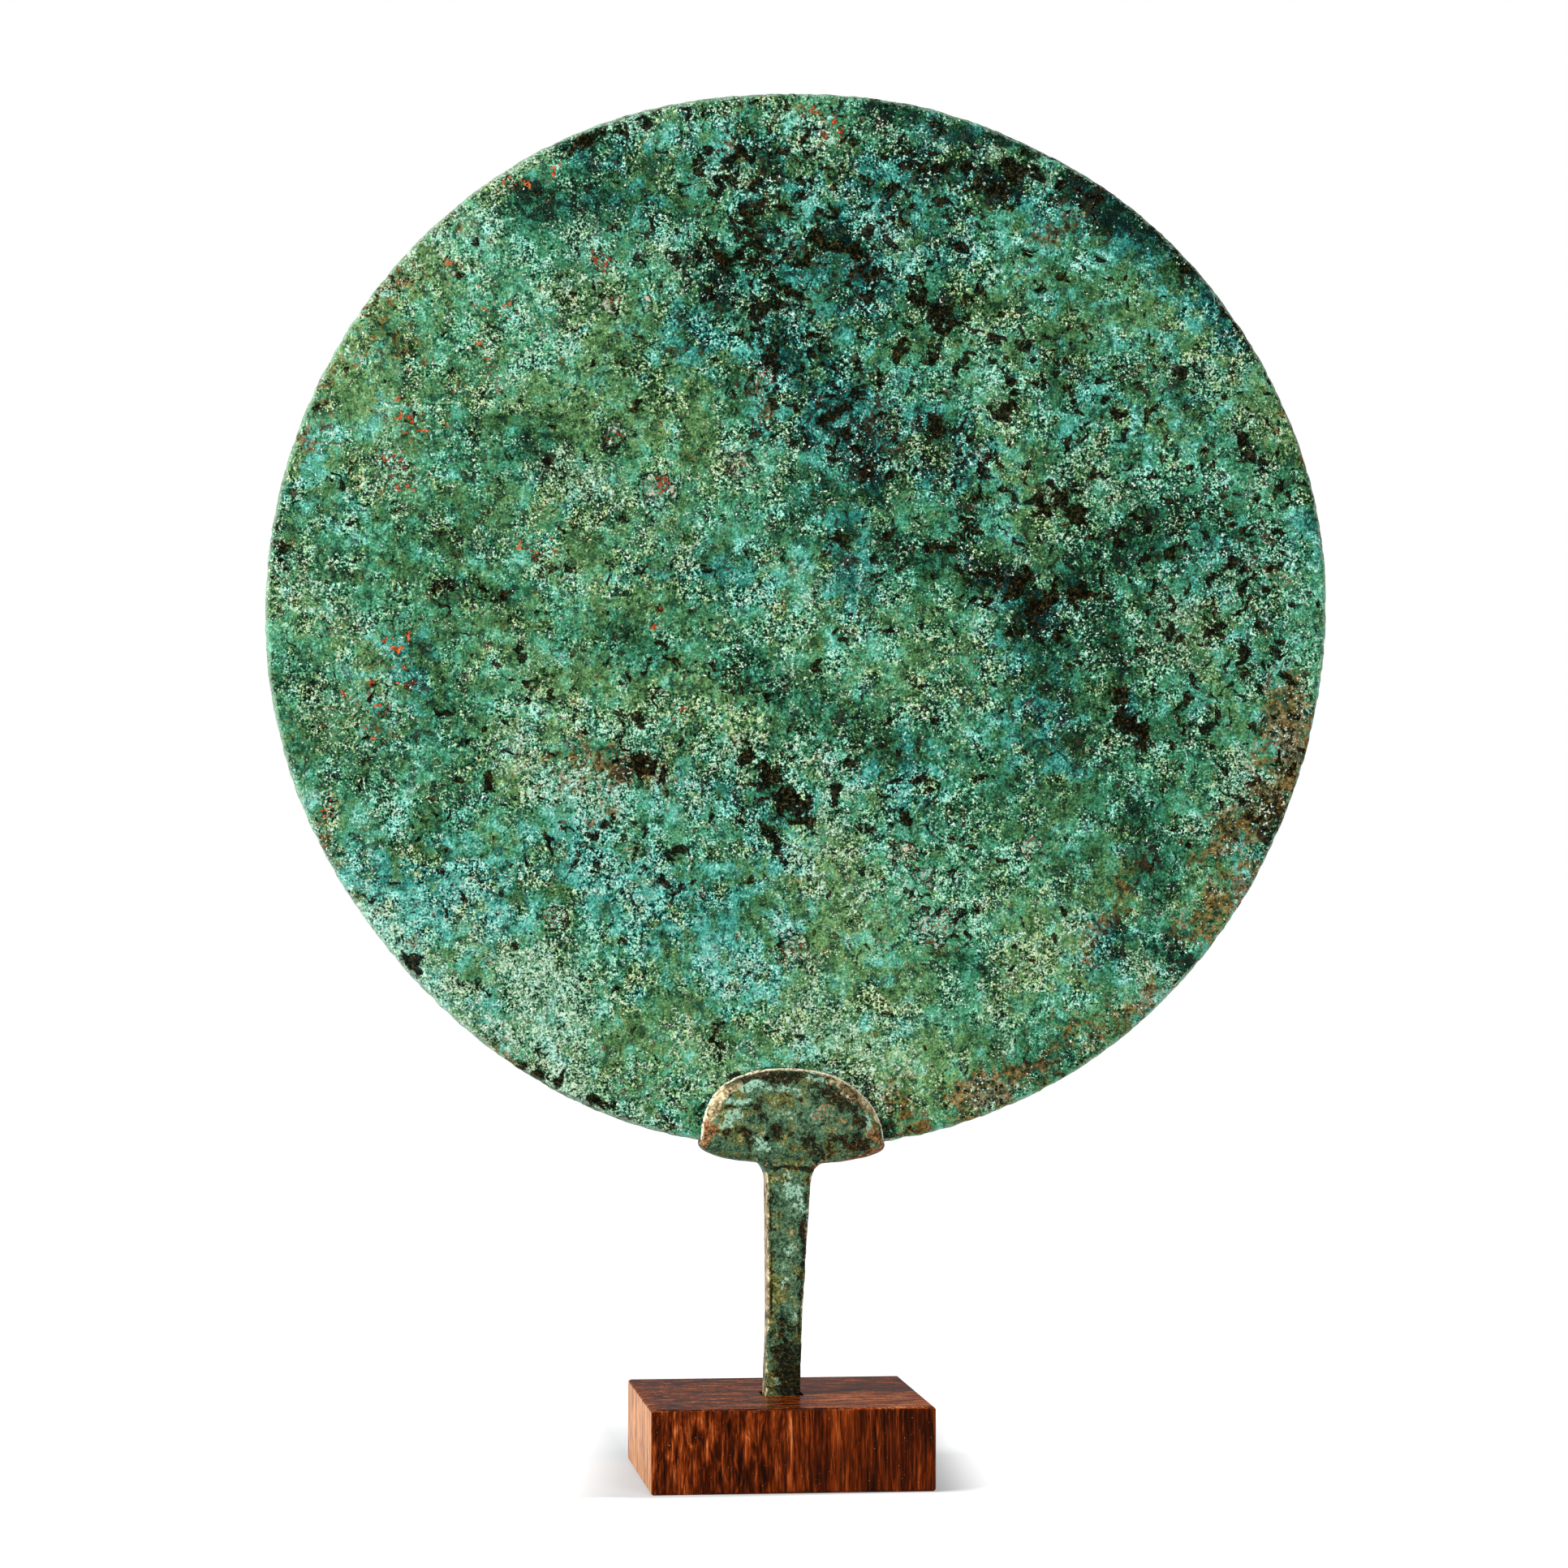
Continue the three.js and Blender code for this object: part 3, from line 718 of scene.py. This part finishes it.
def lay_blisters(look, away, wet):
    """Crumbs of four colours within each blister, and a dark ring round it, by the distance in its radii."""
    crumbs = look.blend(look.noise(0.8, 2, 0.6, 33, bend=1), (wet, -1))
    within = look.step(away, 0.95, 0.85)
    for low, high, share, inlay in (
        (0.4, 1.2, 0.6, paint(176, 222, 204)),
        (1.3, 1.5, 0.9, paint(222, 190, 172)),
        (-0.9, -1.2, 0.85, paint(24, 20, 14)),
        (-1.6, -1.8, 1, paint(176, 72, 44)),
    ):
        look.lay(inlay, look.step(crumbs, low, high), within, share)
    look.lay(paint(14, 12, 8), look.band(away, 1.02, 0.24), 0.98)


def lay_orange_pits(look, wet, fine, mint):
    """Curled pits, dark outside and orange inside, among mint curls."""
    curls = look.noise(1.5, 1, 0.5, 17, bend=0.6)
    orange = look.mix(look.step(fine, -1, 1), paint(150, 64, 30), paint(220, 120, 72))
    look.lay(paint(4, 28, 24), look.step(curls, 0.8, 1.4), wet, 0.8)
    look.lay(orange, look.step(curls, 1.35, 1.55), wet)
    look.lay(mint, look.step(curls, -1.3, -1.7), wet, 0.7)


def disc_material():
    look = Look("disc_patina")
    teal, olive, ochre = look.carried("tints")
    flake, crust, shade = look.carried("marks")
    pitted, blister, edge = look.carried("spots")

    # Noise from wide to fine, and where the surface is rough rather than calm.
    wander = look.noise(13, 3, 0.6, 11)
    herds = look.noise(5, 2, 0.6, 27)
    cloud = look.noise(3.4, 3, 0.6, 5)
    patchy = look.noise(2, 4, 0.6, 37, bend=0.8)
    feather = look.noise(2, 5, 0.75, 21, bend=1)
    torn = look.noise(2.8, 5, 0.64, 23, bend=0.8)
    fine = look.noise(0.9, 3, 0.7, 7)
    specks = look.noise(0.5, 1, 0.5, 15)
    grain = look.noise(0.42, 1, 0.7, 9)
    crumbly = look.maths("MINIMUM", crust, -0.1)
    worked = look.blend(0, (herds, 0.65), (crumbly, 0.5), (flake, 0.4), (olive, -0.5))

    # The ground
    peaked = look.times(grain, look.maths("ABSOLUTE", grain))
    sharp = look.blend(0, (fine, 0.078), (grain, 0.045), (peaked, 0.045))
    busy = look.step(worked, -2, 0.2, 0.6, 2.5)
    tone = look.blend(0.488, (wander, 0.035), (cloud, 0.055), (shade, -0.21), (look.times(sharp, busy), 1))
    bluish = look.step(look.blend(teal, (cloud, 0.3), (wander, 0.15), (fine, 0.15)), 0.15, 1.3)
    leafy = look.step(look.blend(olive, (cloud, -0.35), (wander, -0.25), (fine, 0.15)), -0.25, 1.2)
    look.colour = patina_ground(look, tone, bluish, leafy)
    hollows = look.step(look.noise(1.6, 3, 0.65, 19), 0.5, 1.6, 0, 0.7)
    look.lay(paint(12, 44, 36), hollows)

    # Pale crust, ochre rust, and soot, which also paints the shade at the clasp's joint
    crusted = look.step(look.blend(crust, (feather, 0.75), (grain, 0.4)), 0.05, 0.7)
    chalk = look.blend(0.46, (sharp, 1.3), (feather, 0.05), (crust, 0.06))
    look.lay(pale_crust(look, chalk, bluish), crusted, 0.85)
    stain = look.step(look.blend(ochre, (patchy, 0.35), (fine, 0.08)), 0.4, 1.2)
    rust_tone = look.blend(0.5, (fine, 0.2))
    rust = look.ramp(rust_tone, (0.2, 26, 20, 6), (0.5, 92, 66, 26), (0.8, 154, 110, 56))
    look.lay(rust, stain, 0.8)
    # Soot: dark stains, and the painted shade along the clasp's joint.
    soot_and_joint_shade = look.step(look.blend(shade, (patchy, 0.38), (fine, 0.12)), 0.85, 1.1)
    look.lay(paint(6, 20, 20), soot_and_joint_shade, 0.8)

    # Dark dots, bright flecks and brown crumbs
    dots = look.step(look.blend(worked, (look.noise(0.6, 1, 0.6, 13), 2)), 2.1, 2.4)
    look.lay(paint(12, 14, 8), dots, 0.92)
    flecks = look.step(look.blend(0, (worked, 1), (shade, -0.5), (specks, 2)), 2.3, 2.9)
    mint, cream = paint(180, 230, 208), paint(206, 218, 168)
    bright = look.mix(look.step(specks, 1.6, 2.4), look.mix(leafy, mint, cream), paint(244, 252, 244))
    look.lay(bright, flecks, 0.85)
    crumbs = look.step(look.blend(pitted, (look.noise(1, 1, 0.6, 25), 1)), 2.9, 3.1)
    look.lay(paint(122, 58, 30), crumbs, 0.85)

    # Flaked spots, blisters and pits
    ragged = look.blend(flake, (torn, 0.8), (fine, 0.12))
    flaked = look.step(ragged, -0.03, 0.03, 0, 0.97)
    look.lay(bare_bronze(look, ragged, cloud, fine, grain), flaked)
    wet = look.step(pitted, 0.2, 0.7)
    pocks = look.blend(look.craters(3.4, 5.3, 0.75, 0.75), (look.step(pitted, 0.5, 0.1), GONE))
    rings = look.chain("MINIMUM", blister, look.craters(6, 3.1, 0.7, 0.5), pocks)
    warped = look.blend(0, (look.noise(2, 2, 0.6, 29), 0.26), (fine, 0.06))
    away = look.maths("ADD", rings, warped)
    lay_blisters(look, away, wet)
    lay_orange_pits(look, wet, fine, mint)

    # The rim: worn, and a painted highlight along its edge
    wear_and_highlight = look.step(look.blend(edge, (fine, 0.25)), 0.8, 0.2)
    unstained = look.maths("SUBTRACT", 1, stain)
    look.lay(paint(176, 206, 182), wear_and_highlight, unstained, 0.5)

    height = look.blend(0, (grain, 0.24), (fine, 0.36), (crusted, 0.6), (flecks, 1), (dots, -0.8))
    height = look.blend(height, (look.step(ragged, -0.1, 0.1), -1), (look.band(away, 1.02, 0.3), 0.8))
    roughness = look.step(crusted, 0, 1, 0.62, 0.85)
    return look.finish(roughness, 0.02, height, 0.2)


def make_disc():
    middle, places, outward, on_rim, edge, faces = disc_skin()
    fields = disc_patina(places)
    chips = 0.1 + 0.1 * Noise(41).layers(places, 3, 3, 0.7)
    chips += 0.35 * smooth(fields["flake"], -0.2, 0.5)
    relief = np.where(on_rim, -np.clip(chips, 0, DEEPEST_CHIP), disc_relief(places, fields))
    disc = new_piece("bronze_disc", (places + outward * relief[:, None]) * MM + middle, faces)
    carry(disc, "tints", fields["teal"], fields["olive"], fields["ochre"])
    carry(disc, "marks", fields["flake"], fields["crust"], fields["shade"])
    carry(disc, "spots", fields["pitted"], fields["blister"], edge)
    dress(disc, disc_material(), "mirror_disc")
    return middle


# The handle, in the disc's stroke frame

HANDLE_PALE = [
    (-11, -87.6, -7, -88.2, 1.3, 11), (-5, -88, 0, -89, 1.4, 9), (-12.6, -91, -9.6, -90.4, 1, 10),
    (2.2, -86.2, 5.4, -86.8, 0.9, 13), (12.9, -94.4, 14.4, -96.4, 0.8, 13), (-14, -95, -11, -93, 1.6, 8),
    (-4, -92, 4, -93, 2.4, 5), (4, -95, 7, -97, 1.6, 5), (-8, -99, -4, -100, 1.6, 7),
    (-1, -106.5, 1.5, -111.5, 2.8, 8), (-3.5, -107, -3, -109, 0.8, 6), (-2, -117, -2, -126, 1.6, 5),
    (-1, -130, 0, -132, 1.2, 6), (-3.6, -143, -3, -147, 0.4, 9),
]
HANDLE_BROWN = [
    (-9.3, -86, 1.6, -86, 1, 13), (0.6, -84.4, 3.2, -84.2, 0.8, 12), (4.8, -87.8, 8.6, -91, 1.8, 10),
    (9.7, -92.2, 11.7, -94.8, 1.2, 8), (-7.4, -92, -5.6, -93.8, 0.8, 14),
    (-13.4, -96.2, -12.8, -96.4, 0.8, 10), (-10.4, -96.2, -8.8, -98.2, 0.9, 11),
    (-4.4, -95.4, -3.4, -98, 0.8, 12), (0, -97, 4.6, -100, 2.2, 7), (7.8, -97.4, 12.6, -99, 1.3, 11),
    # (-4.7, -103.6, 3.6, -103.6) darkens the step where the tang meets the dome: dirt and painted shade.
    (-13, -92.3, -8, -91.7, 0.4, 11), (-4.7, -103.6, 3.6, -103.6, 0.45, 16),
    (-4, -115.2, -3.4, -115.6, 0.5, 11), (1.2, -112.4, 1.8, -121.5, 0.8, 12),
    (1.2, -125, 1.4, -126, 0.5, 11), (-2.6, -132, -2.2, -135, 0.7, 12), (-1.6, -132.6, -0.6, -133.6, 0.4, 8),
    (-1.4, -138.5, -1, -148, 2.6, 16), (1, -141, 0.8, -148, 1.6, 15), (-2.8, -141, -2.6, -148, 0.8, 12),
]
HANDLE_WORN = [
    (-17, -96, -16.4, -93.5, 1.2, 11), (-16.6, -94, -14.6, -90, 1.2, 12), (-14.6, -90, -10, -86.4, 1.1, 11),
    (-10, -86.2, -4, -84.8, 0.6, 9), (5.8, -86, 10.6, -89, 1.2, 12), (10.6, -89, 15, -93.5, 1.4, 12),
]
HANDLE_RUST = [
    (-17.6, -99, -16.4, -95.8, 1.2, 13), (14.8, -96.4, 16.8, -98.8, 1.2, 11),
    (9, -102, 15.6, -99.8, 0.8, 12), (8, -98, 12.6, -99, 1, 8), (-6, -102.4, -4, -103, 0.8, 8),
    (3.4, -103.4, 5, -102.6, 0.8, 8), (1.2, -113, 2.4, -117, 0.8, 8), (-4.6, -131, -3.4, -132, 0.6, 8),
    (5, -93, 13, -98, 2.6, 5),
]
# The pit in the dome: its place, reach and depth.
PIT_PLACE = (-5.65, -97.8)
PIT_REACH = 0.6
PIT_DEPTH = 0.8
# The tang's own marks start and fade this far below the disc's middle.
TANG_STARTS = (103.5, 105)
TANG_FADES = (126, 140)
HANDLE_VOXEL = 0.28


def handle_material():
    look = Look("handle_patina")
    pale, brown, wear_and_highlight = look.carried("tints")
    rust, seam, pit = look.carried("marks")

    wander = look.noise(7, 3, 0.6, 31)
    cloud = look.noise(2.6, 3, 0.6, 33)
    fine = look.noise(0.6, 3, 0.65, 35)
    grain = look.noise(0.22, 1, 0.6, 37)
    tone = look.blend(0.34, (wander, 0.03), (cloud, 0.05), (fine, 0.07), (grain, 0.05), (pale, 0.14))
    grey = ground(look, tone, (10, 22, 14), (46, 72, 50), (86, 120, 90), (130, 168, 132), (206, 230, 196))
    moss = look.ramp(tone, (0.08, 10, 12, 4), (0.25, 38, 42, 16), (0.45, 88, 94, 46), (0.8, 184, 184, 124))
    mossy = look.step(look.blend(0, (cloud, 0.6), (wander, 0.7), (fine, 0.3)), 0.1, 1)
    look.colour = look.mix(mossy, grey, moss)

    minty = look.step(look.blend(pale, (fine, 0.12), (cloud, 0.16)), 0.62, 0.7)
    mint_tone = look.blend(0.5, (fine, 0.12))
    mint = look.ramp(mint_tone, (0.2, 96, 140, 116), (0.5, 132, 174, 150), (0.8, 178, 212, 190))
    look.lay(mint, minty, 0.85)

    # Worn gold metal on the dome's shoulders, and painted light on the tang's pale sides.
    bared_and_highlit = look.step(look.blend(wear_and_highlight, (fine, 0.1), (cloud, 0.16)), 0.35, 0.8)
    gold_tone = look.blend(0.5, (fine, 0.1), (cloud, 0.14))
    gold = look.ramp(gold_tone, (0.15, 58, 46, 26), (0.5, 150, 128, 90), (0.85, 234, 220, 184))
    look.lay(gold, bared_and_highlit, 0.9)
    rusty = look.step(look.blend(rust, (fine, 0.16), (cloud, 0.2)), 0.45, 0.85)
    burnt_tone = look.blend(0.5, (fine, 0.16))
    burnt = look.ramp(burnt_tone, (0.15, 44, 22, 8), (0.5, 116, 68, 32), (0.85, 190, 140, 92))
    look.lay(burnt, rusty, 0.85)

    pitch = look.noise(1.6, 4, 0.6, 43, bend=0.8)
    dark = look.step(look.blend(brown, (fine, 0.12), (pitch, 0.38)), 0.55, 0.68)
    rot_tone = look.blend(0.3, (grain, 0.14), (fine, 0.14))
    rot = look.ramp(rot_tone, (0.15, 4, 3, 0), (0.4, 24, 18, 4), (0.6, 62, 46, 14), (0.9, 138, 108, 60))
    look.lay(rot, dark, 0.92)
    dots = look.step(look.noise(0.5, 1, 0.5, 39), 1.6, 1.9)
    look.lay(paint(18, 18, 8), dots, 0.85)
    # A pale line along the dome's foot: wear, and a painted highlight on its edge.
    lip_wear_and_highlight = look.mix(look.step(fine, -1.4, 0.2), paint(150, 112, 66), paint(244, 236, 208))
    look.lay(lip_wear_and_highlight, seam, 0.95)
    look.lay(paint(4, 4, 3), pit)

    height = look.blend(0, (grain, 0.06), (fine, 0.18), (minty, 0.35), (dark, -0.6))
    roughness = look.step(dark, 0, 1, 0.42, 0.62)
    return look.finish(roughness, 0.06, height, 0.14)


def make_handle(middle):
    modifiers = [
        ("REMESH", {"mode": "VOXEL", "voxel_size": HANDLE_VOXEL * MM}),
        ("SMOOTH", {"factor": 0.5, "iterations": 2}),
    ]
    handle = remade("handle", "bronze_handle", modifiers)
    places = (vectors(handle.data.vertices, "co") - middle) / MM
    normals = vectors(handle.data.vertex_normals, "vector")
    front = smooth(-places[:, 1], -0.5, 1)
    seen = as_seen(places)
    bend = np.column_stack([Noise(seed).layers(places, 3.5, 2) for seed in (51, 52)])
    brush = seen + 0.45 * bend
    patches = {}
    painted = {"pale": HANDLE_PALE, "brown": HANDLE_BROWN, "wear_and_highlight": HANDLE_WORN, "rust": HANDLE_RUST}
    for seed, (name, strokes) in enumerate(painted.items(), 61):
        own = 0.85 * smooth(Noise(seed).layers(places, 5, 3), 0.4, 2)
        patches[name] = front * brushed(brush, strokes) + (1 - front) * own
    below = -seen[:, 1]
    tang = smooth(below, *TANG_STARTS) * (1 - 0.5 * smooth(below, *TANG_FADES))
    sides = np.abs(normals[:, 0])
    # The tang's narrow sides are painted pale: wear, and painted light where the key light strikes the left
    # one.
    patches["wear_and_highlight"] = np.maximum(patches["wear_and_highlight"], 1.1 * tang * smooth(sides, 0.6, 0.85))
    patches["brown"] = np.maximum(patches["brown"], 0.9 * tang * bell(sides, 0.35, 0.16))
    # Where the dome rises from the disc; the pale line there is partly a painted highlight.
    seam = smooth(places[:, 1], -2.9, -2.4) * front * smooth(seen[:, 1], -99, -97)
    away = np.hypot(*(seen - PIT_PLACE).T) / PIT_REACH
    pit = front * smooth(-away, -1.15, -0.75)
    relief = 0.05 * Noise(56).layers(places, 6, 3)
    relief += 0.05 * smooth(patches["pale"], 0.5, 0.8) - 0.1 * smooth(patches["brown"], 0.4, 0.8)
    relief -= PIT_DEPTH * pit
    moved = (places + normals * relief[:, None]) * MM + middle
    handle.data.vertices.foreach_set("co", moved.astype(np.float32).ravel())
    handle.data.update()
    handle.data.shade_smooth()
    carry(handle, "tints", patches["pale"], patches["brown"], patches["wear_and_highlight"])
    carry(handle, "marks", patches["rust"], seam, pit)
    dress(handle, handle_material(), "handle")


# The block

ARRIS_ROUND = 0.14
SAME_CORNER = 0.01
SAME_FACE = math.radians(2)


def wood_material(low, high):
    look = Look("rosewood")
    middle = [(a + b) / 2 / MM for a, b in zip(low, high)]
    half = [(b - a) / 2 / MM for a, b in zip(low, high)]
    centred = look.node("VectorMath", {0: look.place, 1: middle}, operation="SUBTRACT").outputs[0]
    from_middle = look.node("SeparateXYZ", {0: centred}).outputs

    # The middle one of the insets from the three pairs of sides is small only along the arrises.
    inset = [look.maths("SUBTRACT", h, look.maths("ABSOLUTE", axis)) for h, axis in zip(half, from_middle)]
    total, lowest, highest = (look.chain(operation, *inset) for operation in ("ADD", "MINIMUM", "MAXIMUM"))
    arris = look.chain("SUBTRACT", total, lowest, highest)

    columns = look.noise(4.5, 2, 0.5, 61, (1, 0.4, 9), bend=0.3)
    streaks = look.noise(0.6, 3, 0.6, 63, (1, 0.6, 11), 1.5, bend=0.4)
    flames = look.noise(1.3, 3, 0.6, 65, (1, 0.6, 4), bend=0.8)
    threads = look.noise(0.26, 2, 0.6, 67, (1, 0.6, 26))
    left = look.step(from_middle[0], 14, -14)
    flaming = look.times(flames, left)
    tone = look.blend(0.452, (columns, 0.09), (streaks, 0.07), (threads, 0.05), (flaming, 0.11))
    # The top face: polished, and painted a little lighter, which stands in for its sheen.
    polish_and_top_light = look.step(from_middle[2], half[2] - 0.5, half[2] - 0.1)
    # A painted pool of light on the top, right of the tang and towards the front.
    painted_light_pool = look.times(polish_and_top_light, look.step(from_middle[0], 0, 9), look.step(from_middle[1], 2, -6))
    lying = look.noise(0.9, 3, 0.6, 75, (9, 1, 1), bend=0.5)
    # Painted light on the top: a touch lighter overall, plus the pool of light; the lying streaks are grain.
    tone = look.blend(tone, (polish_and_top_light, 0.03), (painted_light_pool, 0.2), (look.times(polish_and_top_light, lying), 0.13))
    dark_stops = (0.16, 24, 5, 0), (0.36, 60, 17, 1), (0.52, 100, 37, 5)
    look.colour = look.ramp(tone, *dark_stops, (0.68, 138, 59, 18), (0.88, 190, 112, 62))
    feathers = look.step(look.noise(1.3, 3, 0.6, 73, (1, 1, 16), -2, bend=0.6), 1.2, 1.9)
    look.lay(paint(34, 11, 4), feathers, 0.7)
    veins = look.step(look.noise(0.45, 2, 0.6, 77, (1, 1, 24), 1, bend=0.4), 0.9, 1.4)
    look.lay(paint(30, 9, 3), veins, 0.55)
    vessels = look.step(look.noise(0.3, 1, 0.5, 69, (1, 1, 12)), 1.7, 2.1)
    look.lay(paint(16, 5, 2), vessels, 0.8)
    specks = look.step(look.noise(0.35, 1, 0.5, 71), 2.6, 2.8)
    look.lay(paint(214, 170, 130), specks, 0.6)
    # The left face is painted a pale tan: sapwood, and painted light where the key light falls on it.
    sapwood_and_side_light = look.step(from_middle[0], 0.1 - half[0], 0.02 - half[0])
    tan = look.mix(look.step(tone, 0.25, 0.65), paint(134, 72, 38), paint(226, 164, 112))
    look.lay(tan, sapwood_and_side_light, 0.8)
    # Painted highlight: a paler line along every arris.
    look.lay(paint(150, 96, 70), look.step(arris, 0.32, 0.05, 0, 0.35))

    height = look.blend(0, (threads, 0.06), (streaks, 0.05), (vessels, -0.7))
    streaky = look.times(polish_and_top_light, streaks)
    roughness = look.blend(look.step(tone, 0.2, 0.8, 0.36, 0.44), (polish_and_top_light, -0.18), (streaky, 0.04))
    return look.finish(roughness, 0.03, height, 0.035)


def make_block():
    """The CAD block, its arrises rounded once its triangles are joined and its flat faces made whole."""
    rounding = {"width": ARRIS_ROUND * MM, "segments": 3, "limit_method": "ANGLE", "harden_normals": True}
    modifiers = [
        ("WELD", {"merge_threshold": SAME_CORNER * MM}),
        ("DECIMATE", {"decimate_type": "DISSOLVE", "angle_limit": SAME_FACE}),
        ("BEVEL", rounding),
    ]
    block = remade("stand_block", "rosewood_block", modifiers)
    low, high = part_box("stand_block")
    dress(block, wood_material(low, high), "stand_block")


place_camera()
light_studio()
lay_floor()
disc_middle = make_disc()
make_handle(disc_middle)
make_block()
